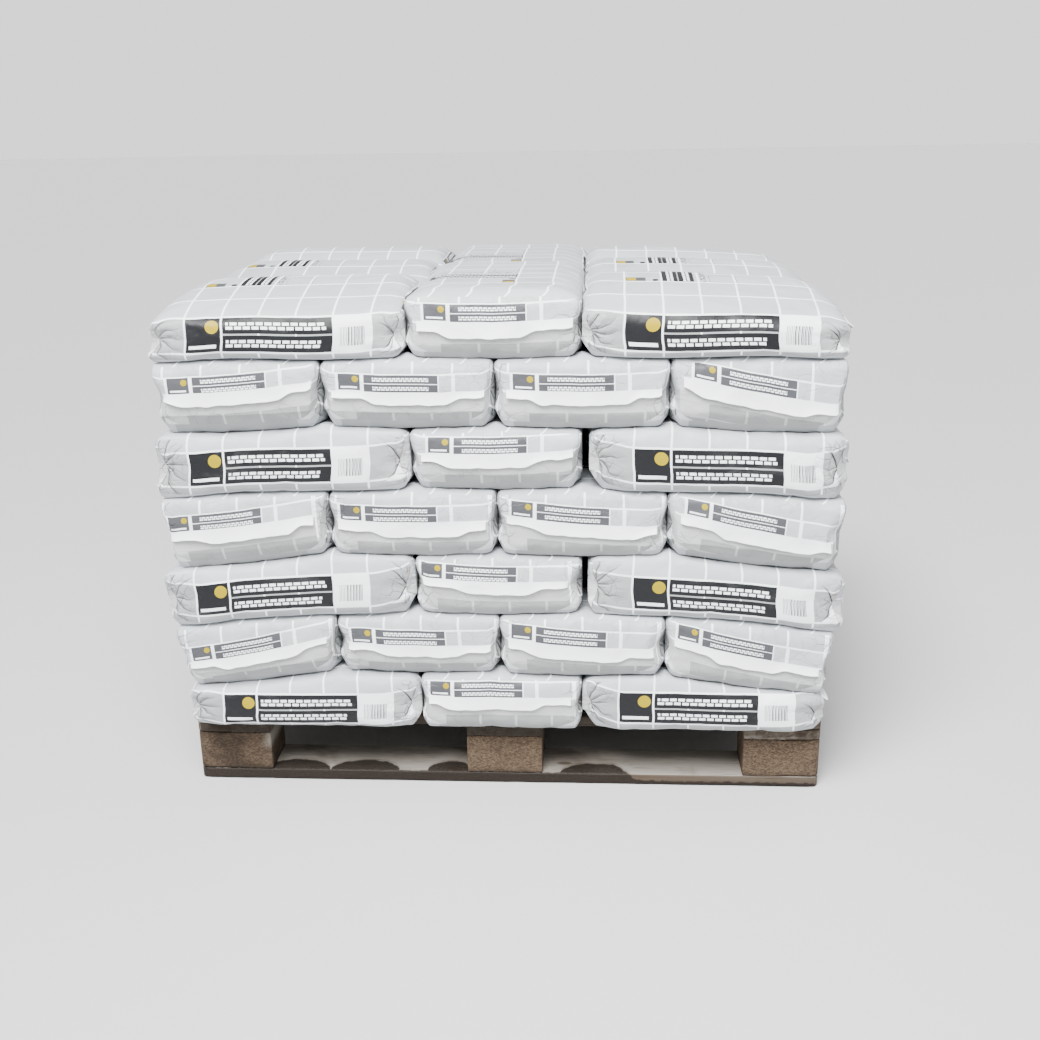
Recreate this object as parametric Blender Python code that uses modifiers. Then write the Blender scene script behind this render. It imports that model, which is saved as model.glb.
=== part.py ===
"""A loaded pallet: fifty-six filled paper sacks in seven interlocked layers on a flat wooden pallet.

Metres, +Z up. The origin is the middle of the pallet's underside, X runs along the pallet's length, and
the printed sides of the front row face -Y.
"""

import bpy
import bmesh
from mathutils import Matrix

# Pallet: three runners, nine blocks, three cross boards and five deck boards
PALLET_LENGTH = 1.200
PALLET_WIDTH = 0.800
BOARD_THICKNESS = 0.022
BLOCK_HEIGHT = 0.078
WIDE_BOARD = 0.145
NARROW_BOARD = 0.100
CORNER_RADIUS = 0.014
DECK_WIDTHS = (WIDE_BOARD, NARROW_BOARD, WIDE_BOARD, NARROW_BOARD, WIDE_BOARD)

# Clear space between two pieces that touch
GAP = 0.0003

# Sacks: one is 0.46 long and 0.31 wide, and the load stands out past the deck on every side but its ends
LOAD_DEPTH = 0.918
COLUMN_EDGE = 0.150
FOLD_X = 0.300
EDGE_TUCK = 0.008
FOOT_REACH = 0.006
EDGE_ROUNDING = 0.022
ROUNDING_STEPS = 2
ROUNDED_ANGLE = 0.7
CROWN_INSET = 0.080
CROWN_RISE = 0.014
JOIN = 0.004

# Layers from the deck up: kind, half length, height at the middle, and how far the outer edge of the
# layer's top sags below its middle. A "brick" layer has three columns of sacks that lie along X at the
# sides and along Y in the middle, and a "row" layer has four sacks abreast and two deep.
LAYERS = (
    ("brick", 0.596, 0.105, 0.037),
    ("row", 0.603, 0.122, 0.028),
    ("brick", 0.617, 0.113, 0.034),
    ("row", 0.609, 0.122, 0.014),
    ("brick", 0.610, 0.111, 0.013),
    ("row", 0.600, 0.123, 0.003),
    ("brick", 0.598, 0.103, 0.000),
)
SAG_REACH = 0.300

# Top sacks: how far each has settled below the layer's top, and the sag of its outer end
TOP_SHAPES = {
    "front_left": (0.000, 0.008),
    "front_middle": (0.003, 0.000),
    "front_right": (0.000, 0.018),
    "mid_left": (0.008, 0.000),
    "mid_right": (0.009, 0.014),
    "back_left": (0.004, 0.000),
    "back_right": (0.008, 0.022),
    "back_middle": (0.016, 0.000),
}

# Colours, as linear red, green, blue
PAPER = (0.68, 0.69, 0.69)
SAWN_WOOD = (0.26, 0.21, 0.16)
PRESSED_WOOD = (0.25, 0.17, 0.11)
PAPER_ROUGHNESS = 0.45
WOOD_ROUGHNESS = 0.85


def clear_scene():
    for obj in list(bpy.data.objects):
        bpy.data.objects.remove(obj, do_unlink=True)


def collection(name):
    made = bpy.data.collections.new(name)
    bpy.context.scene.collection.children.link(made)
    return made


def material(name, colour, roughness):
    made = bpy.data.materials.new(name)
    made.use_nodes = True
    surface = made.node_tree.nodes["Principled BSDF"]
    surface.inputs["Base Color"].default_value = (*colour, 1.0)
    surface.inputs["Roughness"].default_value = roughness
    surface.inputs["Metallic"].default_value = 0.0
    return made


def add_object(name, bm, surface, group):
    mesh = bpy.data.meshes.new(name)
    bm.to_mesh(mesh)
    bm.free()
    mesh.materials.append(surface)
    obj = bpy.data.objects.new(name, mesh)
    group.objects.link(obj)
    return obj


def box(x_range, y_range, z_range):
    """A box between the given limits."""
    low, high = zip(x_range, y_range, z_range)
    bm = bmesh.new()
    size = [b - a for a, b in zip(low, high)]
    middle = [(a + b) / 2 for a, b in zip(low, high)]
    fit = Matrix.Translation(middle) @ Matrix.Diagonal((*size, 1.0))
    bmesh.ops.create_cube(bm, size=1.0, matrix=fit)
    return bm


def timber(name, x_range, y_range, z_range, surface, group):
    """A sawn piece, with a rounded upright edge where it stands on a corner of the pallet."""
    bm = box(x_range, y_range, z_range)
    corner_edges = [
        edge
        for edge in bm.edges
        if all(
            abs(abs(v.co.x) - PALLET_LENGTH / 2) < GAP and abs(abs(v.co.y) - PALLET_WIDTH / 2) < GAP
            for v in edge.verts
        )
    ]
    if corner_edges:
        bmesh.ops.bevel(
            bm, geom=corner_edges, offset=CORNER_RADIUS, segments=3, profile=0.5, affect="EDGES"
        )
    return add_object(name, bm, surface, group)


def span(middle, width):
    return (middle - width / 2, middle + width / 2)


def build_pallet(group):
    board_wood = material("sawn_wood", SAWN_WOOD, WOOD_ROUGHNESS)
    block_wood = material("pressed_wood", PRESSED_WOOD, WOOD_ROUGHNESS)
    x_stations = {
        "left": -(PALLET_LENGTH - WIDE_BOARD) / 2,
        "middle": 0.0,
        "right": (PALLET_LENGTH - WIDE_BOARD) / 2,
    }
    y_stations = {
        "front": (-(PALLET_WIDTH - NARROW_BOARD) / 2, NARROW_BOARD),
        "centre": (0.0, WIDE_BOARD),
        "back": ((PALLET_WIDTH - NARROW_BOARD) / 2, NARROW_BOARD),
    }
    full_length = span(0.0, PALLET_LENGTH)
    runner_top = BOARD_THICKNESS
    block_top = runner_top + BLOCK_HEIGHT
    cross_top = block_top + BOARD_THICKNESS
    deck_top = cross_top + BOARD_THICKNESS
    for row, (y, width) in y_stations.items():
        timber(
            f"bottom_board_{row}", full_length, span(y, width), (0.0, runner_top - GAP), board_wood, group
        )
        for column, x in x_stations.items():
            timber(
                f"block_{row}_{column}",
                span(x, WIDE_BOARD),
                span(y, width),
                (runner_top, block_top - GAP),
                block_wood,
                group,
            )
    for column, x in x_stations.items():
        timber(
            f"cross_board_{column}",
            span(x, WIDE_BOARD),
            span(0.0, PALLET_WIDTH),
            (block_top, cross_top - GAP),
            board_wood,
            group,
        )
    deck_gap = (PALLET_WIDTH - sum(DECK_WIDTHS)) / (len(DECK_WIDTHS) - 1)
    near_edge = -PALLET_WIDTH / 2
    for number, width in enumerate(DECK_WIDTHS, start=1):
        timber(
            f"deck_board_{number}",
            full_length,
            (near_edge, near_edge + width),
            (cross_top, deck_top - GAP),
            board_wood,
            group,
        )
        near_edge += width + deck_gap
    return deck_top


def bearing(middle_height, sag):
    """The surface between two layers: level in the middle, and sloping down to the ends past FOLD_X."""

    def height(x):
        return middle_height - sag * max(0.0, abs(x) - FOLD_X) / SAG_REACH

    return height


def outer_lean(x, below, above):
    """How much further out the top of an outer end stands than its bottom, square to the sagging layers."""
    if abs(x) < FOLD_X + GAP:
        return 0.0
    fall = (below(0.0) - below(x) + above(0.0) - above(x)) / 2
    return fall / (abs(x) - FOLD_X) * (above(x) - below(x))


def sack(name, slot, below, above, surface, group, joined="", crowned=False):
    """A filled sack between two bearing surfaces.

    slot is (x low, x high, y low, y high). The belt at half height fills it, and the edges above and
    below are tucked in. An outer end leans out at the top, square to the sagging layers, and where a sack
    lies along X the end's foot stands out. joined names the sides, such as "x+", that run into the next
    sack of one solid.
    """
    x_low, x_high, y_low, y_high = slot
    bm = box((x_low, x_high), (y_low, y_high), (0.0, 1.0))
    cuts = [((0, 0, 0.5), (0, 0, 1))]
    cuts += [((x, 0, 0), (1, 0, 0)) for x in (-FOLD_X, FOLD_X) if x_low + GAP < x < x_high - GAP]
    for point, normal in cuts:
        whole = bm.verts[:] + bm.edges[:] + bm.faces[:]
        bmesh.ops.bisect_plane(bm, geom=whole, plane_co=point, plane_no=normal, dist=GAP / 10)
    if crowned:
        roof = [face for face in bm.faces if face.normal.z > 0.9]
        inset = bmesh.ops.inset_region(bm, faces=roof, thickness=CROWN_INSET, use_even_offset=True)
        ring = set(inset["faces"])
        plateau = {v for face in roof if face not in ring for v in face.verts}
    else:
        plateau = set()
    reach = {side: JOIN if side in joined.split() else -GAP for side in ("x-", "x+", "y-", "y+")}
    for vert in bm.verts:
        if vert in plateau:
            vert.co.z = above(vert.co.x) - GAP + CROWN_RISE
            continue
        x, y, level = vert.co
        tuck = EDGE_TUCK * abs(level - 0.5) * 2
        end_tuck = tuck - outer_lean(x, below, above) * (level - 0.5)
        if level < 0.5 and abs(x) > FOLD_X + GAP and x_high - x_low > y_high - y_low:
            end_tuck -= EDGE_TUCK + FOOT_REACH
        if abs(x - x_low) < GAP:
            vert.co.x = x_low - reach["x-"] + end_tuck
        elif abs(x - x_high) < GAP:
            vert.co.x = x_high + reach["x+"] - end_tuck
        if abs(y - y_low) < GAP:
            vert.co.y = y_low - reach["y-"] + tuck
        elif abs(y - y_high) < GAP:
            vert.co.y = y_high + reach["y+"] - tuck
        low, high = below(vert.co.x) + GAP, above(vert.co.x) - GAP
        vert.co.z = low + (high - low) * level
    bmesh.ops.recalc_face_normals(bm, faces=bm.faces)
    obj = add_object(name, bm, surface, group)
    rounding = obj.modifiers.new("rounded_edges", "BEVEL")
    rounding.width = EDGE_ROUNDING
    rounding.segments = ROUNDING_STEPS
    rounding.limit_method = "ANGLE"
    rounding.angle_limit = ROUNDED_ANGLE
    return obj


def brick_slots(half_length):
    """Slots of a brick layer: outer columns three sacks deep, the middle column two deep."""
    side, third = LOAD_DEPTH / 2, LOAD_DEPTH / 6
    outer = {"front": (-side, -third), "mid": (-third, third), "back": (third, side)}
    slots = {}
    for row, depth in outer.items():
        slots[f"{row}_left"] = (-half_length, -COLUMN_EDGE, *depth)
        slots[f"{row}_right"] = (COLUMN_EDGE, half_length, *depth)
    slots["front_middle"] = (-COLUMN_EDGE, COLUMN_EDGE, -side, 0.0)
    slots["back_middle"] = (-COLUMN_EDGE, COLUMN_EDGE, 0.0, side)
    return slots


def row_slots(half_length):
    """Slots of a row layer: four sacks abreast, two deep."""
    edges = (-half_length, -FOLD_X, 0.0, FOLD_X, half_length)
    names = ("outer_left", "inner_left", "inner_right", "outer_right")
    slots = {}
    for row, depth in (("front", (-LOAD_DEPTH / 2, 0.0)), ("back", (0.0, LOAD_DEPTH / 2))):
        for name, low, high in zip(names, edges, edges[1:]):
            slots[f"{row}_{name}"] = (low, high, *depth)
    return slots


# Sides that run into a neighbour where the sacks behind the front row are one solid
JOINED_SIDES = {
    "mid_left": "y+",
    "mid_right": "y+",
    "back_middle": "x- x+",
    "back_outer_left": "x+",
    "back_inner_left": "x+",
    "back_inner_right": "x+",
}


def fused_rear(layer_number, slots, below, above, paper, group, helpers):
    """The sacks behind the front row of a covered layer, as one solid with grooves between them."""
    hidden = bpy.data.collections.new(f"rear_sacks_{layer_number}")
    helpers.children.link(hidden)
    (first_place, first_slot), *others = slots.items()
    first_joins = JOINED_SIDES.get(first_place, "")
    solid = sack(
        f"sacks_{layer_number}_rear", first_slot, below, above, paper, group, joined=first_joins
    )
    for place, slot in others:
        name, joins = f"shape_{layer_number}_{place}", JOINED_SIDES.get(place, "")
        shape = sack(name, slot, below, above, paper, hidden, joined=joins)
        shape.hide_render = True
        shape.display_type = "WIRE"
    union = solid.modifiers.new("one_solid", "BOOLEAN")
    union.operation = "UNION"
    union.solver = "EXACT"
    union.operand_type = "COLLECTION"
    union.collection = hidden


def build_load(deck_top, group, helpers):
    paper = material("sack_paper", PAPER, PAPER_ROUGHNESS)
    below = bearing(deck_top, 0.0)
    middle_height = deck_top
    for number, (kind, half_length, height, sag) in enumerate(LAYERS, start=1):
        middle_height += height
        above = bearing(middle_height, sag)
        slots = brick_slots(half_length) if kind == "brick" else row_slots(half_length)
        rear = {}
        for place, slot in slots.items():
            name = f"sack_{number}_{place}"
            if number == len(LAYERS):
                settled, end_sag = TOP_SHAPES[place]
                roof = bearing(middle_height - settled, end_sag)
                sack(name, slot, below, roof, paper, group, crowned=True)
            elif place.startswith("front"):
                sack(name, slot, below, above, paper, group)
            else:
                rear[place] = slot
        if rear:
            fused_rear(number, rear, below, above, paper, group, helpers)
        below = above


def main():
    clear_scene()
    pallet_of_sacks = collection("pallet_of_sacks")
    helpers = collection("joined_shapes")
    helpers.hide_render = True
    deck_top = build_pallet(pallet_of_sacks)
    build_load(deck_top, pallet_of_sacks, helpers)


main()
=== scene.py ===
"""Looks of a loaded pallet: paper sacks of powder, printed with a plain grid, on a worn wooden pallet.

Metres, +Z up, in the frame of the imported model. The printed sides of the front row face -Y.
"""

import functools
import math

import bpy
import numpy as np
from mathutils import Matrix, Vector, noise


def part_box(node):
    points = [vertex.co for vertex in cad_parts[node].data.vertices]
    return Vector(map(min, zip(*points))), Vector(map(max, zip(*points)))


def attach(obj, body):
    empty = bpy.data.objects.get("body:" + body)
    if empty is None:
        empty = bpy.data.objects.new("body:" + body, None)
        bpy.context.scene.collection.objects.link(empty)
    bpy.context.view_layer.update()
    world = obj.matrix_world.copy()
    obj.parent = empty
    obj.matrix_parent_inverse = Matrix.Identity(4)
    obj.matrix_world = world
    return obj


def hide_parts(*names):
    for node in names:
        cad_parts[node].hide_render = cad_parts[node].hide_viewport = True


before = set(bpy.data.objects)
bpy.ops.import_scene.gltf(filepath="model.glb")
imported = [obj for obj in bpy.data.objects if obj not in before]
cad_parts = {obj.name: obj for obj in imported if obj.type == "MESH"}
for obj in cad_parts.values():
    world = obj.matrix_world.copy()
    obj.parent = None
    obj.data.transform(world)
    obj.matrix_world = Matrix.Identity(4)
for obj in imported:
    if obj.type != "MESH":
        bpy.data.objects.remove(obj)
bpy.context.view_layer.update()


def linear(*colour):
    """An sRGB colour as linear red, green, blue and full alpha."""
    return tuple(c / 12.92 if c <= 0.04045 else ((c + 0.055) / 1.055) ** 2.4 for c in colour) + (1.0,)


# One sack as it lies filled, and the grid of points that its paper is made of
SACK_LENGTH = 0.450
SACK_WIDTH = 0.300
SACK_HEIGHT = 0.115
SACK_SIZE = np.array([SACK_LENGTH, SACK_WIDTH, SACK_HEIGHT])
FINE_CELL = 0.0052
COARSE_CELL = 0.0105
HIDDEN_CELL = 0.040
HIDDEN_EDGE = 0.030
HIDDEN_EDGE_CELL = 0.009
END_ZONE = 0.078
SIDE_ZONE = 0.058

# The sides of a flat sack, the sides of the load, and which of these they face as a sack lies along X or Y
SIDES = ("end_low", "end_high", "side_low", "side_high", "bottom", "top")
OUTWARD = {"x-": (-1, 0, 0), "x+": (1, 0, 0), "y-": (0, -1, 0), "y+": (0, 1, 0)}
FACES = {"x": dict(zip(SIDES, ("x-", "x+", "y-", "y+"))), "y": dict(zip(SIDES, ("y-", "y+", "x+", "x-")))}

# The pallet
DECK_TOP = 0.144
DECK_HALF_WIDTH = 0.400
PALLET_HALF_LENGTH = 0.600
CORNER_ROUNDING = 0.014
BOTTOM_BOARD_TOP = 0.0225
AT_FACE = 0.0015

# The load: layers and columns, as on the real pallet
GAP = 0.0003
LOAD_DEPTH = 0.918
COLUMN_EDGE = 0.150
FOLD_X = 0.300
FOLD_SOFTNESS = 0.050
SAG_REACH = 0.300
CROWN_RISE = 0.017
FOOT_REACH = 0.012
BELLY_ROOM = 0.006
PILLOW_WAVE = 0.0022
JOINT_RIDGE = 0.0065
JOINT_REACH = 0.020
JOINT_GROOVE_REACH = 0.026

# A joint's ridge sets in between these distances from the middle of the load, along X and along Y
RIDGE_ZONE_X = (0.53, 0.57)
RIDGE_ZONE_Y = (0.39, 0.43)

# How far a sack on the deck hangs down past its long edges, as it lies along X or Y
DECK_DROOPS = {"x": 0.006, "y": 0.010}

# Timber: size of the grid's cells and rounding of the edges of blocks and boards, the grid's first lines
# from each edge and where its even part begins, and the depth of the nicks
BLOCK_FORM = (0.012, 0.0022)
BOARD_FORM = (0.016, 0.0018)
FIRST_TIMBER_LINES = np.array([0.0, 0.0015, 0.0035])
EVEN_TIMBER_ZONE = 0.006
NICK_DEPTH = 0.0006

# Layers from the deck up: kind, half length, height at the middle, sag of the top at the ends
LAYERS = (
    ("brick", 0.596, 0.105, 0.037),
    ("row", 0.603, 0.122, 0.028),
    ("brick", 0.617, 0.113, 0.034),
    ("row", 0.609, 0.122, 0.014),
    ("brick", 0.610, 0.111, 0.013),
    ("row", 0.600, 0.123, 0.003),
    ("brick", 0.598, 0.103, 0.000),
)

# Top sacks: how far each has settled below the layer's top, and the sag of its outer end
TOP_SHAPES = {
    "front_left": (0.000, 0.008),
    "front_middle": (0.003, 0.000),
    "front_right": (0.000, 0.018),
    "mid_left": (0.008, 0.000),
    "mid_right": (0.009, 0.014),
    "back_left": (0.004, 0.000),
    "back_right": (0.008, 0.022),
    "back_middle": (0.016, 0.000),
}

# Crown of a top sack: how far its top falls towards an edge, over what distance, and how hollow that is
OPEN_SIDE_FALL = (0.043, 0.200, 1.6)
INNER_SIDE_FALL = (0.030, 0.106, 2.0)
OPEN_END_FALL = (0.032, 0.090, 1.6)
INNER_END_FALL = (0.012, 0.050, 2.0)
MIDDLE_SIDE_FALL = (0.015, 0.060, 2.0)
MIDDLE_END_FALL = (0.010, 0.060, 2.0)

# Rounding of a sack's edges: how far it reaches in from the ends, in from the sides, and down or up
PLAN_ROUNDING = np.array([0.040, 0.017, 0.030])
LOWER_END_ROUNDING = np.array([0.024, 0.021, 0.040])
LOWER_SIDE_ROUNDING = np.array([0.024, 0.011, 0.016])
UPPER_ROUNDING = np.array([0.026, 0.011, 0.022])

# How full an edge is: 1 is a flat slope across the corner, 2 is round, more is boxy
FOLDED_EDGE = 1.2
SIDE_EDGE = 1.9
COVERED_EDGE = 2.4

# Paper keeps a crisp edge where it folds by more than this, in degrees
PAPER_CRISP = 24.0

# Filling: how uneven the empty bag is, how far from the edges it is pressed flat, where its paper is too
# long, steps and number of the simulations, how far they may move the paper, and how the paper behaves
PUCKER = 0.010
PRESSED_FROM = 0.040
LOOSE_ZONE = (0.010, 0.110)
FILL_FRAMES = 20
FILL_VARIANTS = 3
MOST_MOVE = 0.013
SHARE_OF_MOVE = 0.75
FILLING = {
    "quality": 5,
    "mass": 0.25,
    "tension_stiffness": 80,
    "compression_stiffness": 80,
    "shear_stiffness": 30,
    "bending_stiffness": 5,
    "tension_damping": 10,
    "compression_damping": 10,
    "shear_damping": 10,
    "bending_damping": 2,
    "air_damping": 3,
    "use_pressure": True,
    "uniform_pressure_force": 5,
    "vertex_group_mass": "pressed",
    "vertex_group_shrink": "loose",
    "shrink_min": -0.003,
    "shrink_max": -0.045,
}

# Print: a grid of squares, and the whole numbers that set the regions of the sack's paper apart
GRID = SACK_LENGTH / 7
LINE = 0.0036
FIRST_LINE = 0.0175
END_REGION = 1.0
HIGH_END_REGION = 2.0
UNDER_REGION = 3.0
FLAP_REGION = 5.0

# The flap that closes a sack's end: its top, up from the sack's foot, where its points lie across, its rows
# of points from its top to its lower edge, how much shorter it is at both sides, how ragged its lower edge
# is, and its thickness
FLAP_TOP = 0.070
FLAP_POINTS = np.linspace(0.013, SACK_WIDTH - 0.024, 57)
FLAP_ROWS = (0.0, 0.35, 0.7, 0.9, 1.0)
FLAP_STEP = 0.010
FLAP_TEAR = 0.0022
FLAP_THICKNESS = 0.0005

# The print on an end is a little larger than its drawing, and lies lower than it
END_PRINT_SCALE = 1.06
END_PRINT_DROP = 0.015

# How far the print of an end lies to the right on a sack that lies along the load
SIDEWAYS_END_SHIFTS = (-0.006, 0.014)

# Upright lines of an end: how far in the first one is, and how much further on the high end
END_LINE = 0.0118
HIGH_END_LINE = 0.0193

# Front sacks from the left: how far the print lies to the right and down, and how much it runs down
# to the right, where that isn't left to chance
FRONT_PLACES = {
    "brick": ("front_left", "front_middle", "front_right"),
    "row": ("front_outer_left", "front_inner_left", "front_inner_right", "front_outer_right"),
}
FRONT_PRINTS = {
    7: ((0.006, 0.005), (0.022, 0.002), (0.008, 0.006)),
    6: ((0.021, -0.004, -0.04), (0.021, 0.003), (0.020, 0.001), (0.027, -0.003, 0.15)),
    5: ((-0.005, 0.002), (0.021, 0.000), (0.016, 0.003)),
    4: ((0.000, -0.006, -0.03), (0.010, 0.000), (0.014, 0.000, 0.07), (0.016, -0.002, 0.10)),
    3: ((-0.012, 0.002), (0.000, -0.002), (0.013, 0.006)),
    2: ((0.014, 0.005, -0.09), (0.016, 0.006), (0.010, 0.000, 0.06), (0.009, -0.002, 0.09)),
    1: ((0.008, 0.011), (0.007, -0.005), (0.005, 0.002)),
}

# Sacks that stand a little off their left neighbour, which leaves a dark gap
INSETS = {(5, "front_right"): 0.012, (3, "front_right"): 0.010}

# Nail heads in the bottom boards: the middles of the blocks span a rectangle, with four nails at each
NAIL_VALUES = {
    "Block row length": 1.055,
    "Block row depth": 0.700,
    "Nail spacing along": 0.080,
    "Nail spacing across": 0.052,
    "Head radius": 0.0045,
    "Head depth": 0.0012,
    "Seed": 5,
}

# Least and most offset of a nail head, and least and most turn
NAIL_OFFSETS = ((-0.006, -0.006, 0.0003), (0.006, 0.006, 0.0005))
NAIL_TURNS = ((-0.05, -0.05, 0.0), (0.05, 0.05, 6.28))

# Wet lobes on the outer bottom boards: middle and half width along the board
WET_LOBES = ((-0.408, 0.062), (-0.275, 0.068), (-0.110, 0.045), (0.176, 0.072))

# Colours
PAPER_WHITE = linear(0.940, 0.950, 0.966)
SQUARE_GREY = linear(0.684, 0.697, 0.714)
LOWER_GREY = linear(0.690, 0.695, 0.695)
BAND_GREY = linear(0.545, 0.553, 0.555)
# Painted shade for the creases, pleat valleys and broken folds of the paper
CREASE_SHADE = linear(0.200, 0.205, 0.220)
KRAFT_BROWN = linear(0.500, 0.360, 0.270)
PANEL_DARK = linear(0.065, 0.070, 0.082)
SMALL_PANEL = linear(0.265, 0.270, 0.285)
MARK_YELLOW = linear(0.610, 0.535, 0.000)
DUST_GREY = linear(0.540, 0.520, 0.490)
BOARD_GREY = linear(0.385, 0.355, 0.320)
BOARD_BROWN = linear(0.235, 0.195, 0.158)
# Dark brown of wet wood, also used as painted shade under the load's overhang and in the pits of the blocks
WET_WOOD_AND_SHADE = linear(0.095, 0.070, 0.052)
CHIP_LIGHT = linear(0.385, 0.325, 0.265)
CHIP_DARK = linear(0.245, 0.200, 0.158)
ZINC_GREY = linear(0.62, 0.62, 0.60)
RUST_BROWN = linear(0.40, 0.24, 0.15)
FLOOR_GREY = linear(0.74, 0.74, 0.74)

# How much the surfaces shine
PAPER_SHINE = 0.27
WOOD_SHINE = 0.2

# Rectangles on an end: colour, where they begin and end across, and where they begin and end going up
END_FIELDS = (
    (LOWER_GREY, 0.0, SACK_WIDTH, -1.0, 0.0660),
    (PAPER_WHITE, 0.0, 0.2745, 0.0660, 0.0990),
    (SQUARE_GREY, 0.000, 0.0145, 0.0690, 0.0965),
    (SQUARE_GREY, 0.183, 0.203, 0.0690, 0.0965),
    (SQUARE_GREY, 0.209, 0.2675, 0.0690, 0.0965),
    (SMALL_PANEL, 0.019, 0.055, 0.0715, 0.0975),
    (SMALL_PANEL, 0.061, 0.181, 0.0690, 0.0825),
    (SMALL_PANEL, 0.061, 0.181, 0.0838, 0.0975),
    (PAPER_WHITE, 0.023, 0.050, 0.0745, 0.0775),
)

# Studio: how bright the air is at the horizon and overhead, where that changes, its tint, and the floor
HORIZON_GLOW = 1.55
SKY_GLOW = 0.38
HORIZON_ZONE = (0.10, 0.24)
SKY_TINT = (0.985, 0.990, 1.0, 1.0)
FLOOR_REACH = 40.0
FLOOR_DEPTH = 0.001

# Lamps: kind, place, where they point, power, and how wide they are, the far ones in radians
LAMPS = {
    "key_light": ("SUN", (-0.35, -0.66, 1.15), (0.0, 0.0, 0.0), 8.2, math.radians(30.0)),
    "rear_light": ("SUN", (0.70, 0.90, 1.10), (0.0, 0.0, 0.0), 1.0, math.radians(60.0)),
    "front_light": ("AREA", (0.6, -3.0, 3.2), (0.0, -0.4, 0.5), 70.0, 1.8),
    "top_light": ("AREA", (-0.1, -1.8, 2.4), (0.0, -0.4, 0.90), 105.0, 1.2),
}

# Camera: its place, and its turn, tilt and roll in degrees
CAMERA_PLACE = (0.176, -2.500, 1.235)
CAMERA_TURN = -3.77
CAMERA_TILT = 18.35
CAMERA_ROLL = -1.01
CAMERA_LENS = 42.54


def smooth(value, low, high):
    """0 below low, 1 above high, and an even curve between them."""
    step = np.clip((value - low) / (high - low), 0.0, 1.0)
    return step * step * (3 - 2 * step)


def rough(points, scale=1.0, shift=(0.0, 0.0, 0.0)):
    """A random number for each point, which changes softly from point to point."""
    return np.array([noise.noise(Vector(point) * scale + Vector(shift)) for point in points])


def link(name, data):
    piece = bpy.data.objects.new(name, data)
    bpy.context.scene.collection.objects.link(piece)
    return piece


def feed(node, values):
    """Gives a node's inputs their values, or links them to fields."""
    for key, value in values.items():
        if isinstance(value, Field):
            node.id_data.links.new(value.socket, node.inputs[key])
        else:
            node.inputs[key].default_value = value


def add_node(tree, kind, inputs, output=0, **settings):
    """The output of a new node, whose inputs are values or fields, as a field."""
    made = tree.nodes.new(kind)
    for key, value in settings.items():
        setattr(made, key, value)
    feed(made, inputs)
    return Field(made.outputs[output])


def maths(operation):
    """A function that joins fields and numbers by a maths node."""

    def join(*values):
        field = next(value for value in values if isinstance(value, Field))
        return field.node("ShaderNodeMath", dict(enumerate(values)), operation=operation)

    return join


class Field:
    """A number, colour or place that varies over a surface. What is done with it makes nodes."""

    __add__ = __radd__ = maths("ADD")
    __sub__ = maths("SUBTRACT")
    __mul__ = __rmul__ = maths("MULTIPLY")
    __truediv__ = maths("DIVIDE")
    __gt__ = maths("GREATER_THAN")
    __lt__ = maths("LESS_THAN")
    __abs__ = maths("ABSOLUTE")
    floor = maths("FLOOR")
    fract = maths("FRACT")
    root = maths("SQRT")
    sine = maths("SINE")

    def __init__(self, socket):
        self.socket = socket

    def __rsub__(self, other):
        return maths("SUBTRACT")(other, self)

    def node(self, kind, inputs, output=0, **settings):
        return add_node(self.socket.id_data, kind, inputs, output, **settings)

    def split(self):
        first = self.node("ShaderNodeSeparateXYZ", {0: self})
        return [Field(output) for output in first.socket.node.outputs]

    def ramp(self, low, high, start=0.0, end=1.0):
        inputs = {"Value": self, "From Min": low, "From Max": high, "To Min": start, "To Max": end}
        return self.node("ShaderNodeMapRange", inputs, interpolation_type="SMOOTHSTEP")

    def between(self, low, high):
        return (self > low) * (self < high)

    def to_line(self, pitch):
        """How far the value is from the nearest multiple of pitch."""
        return maths("PINGPONG")(self, pitch / 2)

    def chance(self, second, third=0.0):
        """A random number from 0 to 1 for each set of three values."""
        values = self.node("ShaderNodeCombineXYZ", {0: self, 1: second, 2: third})
        return self.node("ShaderNodeTexWhiteNoise", {"Vector": values}, noise_dimensions="3D")

    def stretched(self, x, y, z):
        return self.node("ShaderNodeMapping", {"Vector": self, "Scale": (x, y, z)})

    def noise(self, scale, detail=2.0, roughness=0.5, distortion=0.0):
        inputs = {"Vector": self, "Scale": scale, "Detail": detail, "Roughness": roughness}
        return self.node("ShaderNodeTexNoise", inputs | {"Distortion": distortion})

    def cells(self, scale, feature="F1", output="Distance"):
        return self.node("ShaderNodeTexVoronoi", {"Vector": self, "Scale": scale}, output, feature=feature)

    def push(self, scale, amount):
        """A push in a random direction, up to about half the amount each way."""
        cloud = self.node("ShaderNodeTexNoise", {"Vector": self, "Scale": scale, "Detail": 1.0}, "Color")
        centred = self.node("ShaderNodeVectorMath", {0: cloud, 1: (0.5, 0.5, 0.5)}, operation="SUBTRACT")
        return self.node("ShaderNodeVectorMath", {0: centred, "Scale": amount}, operation="SCALE")


least = maths("MINIMUM")
most = maths("MAXIMUM")
angle = maths("ARCTAN2")


def either(*fields):
    return functools.reduce(most, fields)


def distance(x, y):
    return (x * x + y * y).root()


def patch(u, v, left, right, foot, top):
    """1 in a rectangle, and 0 round it."""
    return u.between(left, right) * v.between(foot, top)


def in_region(u, region):
    return u.between(region - 0.1, region + 0.6)


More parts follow.
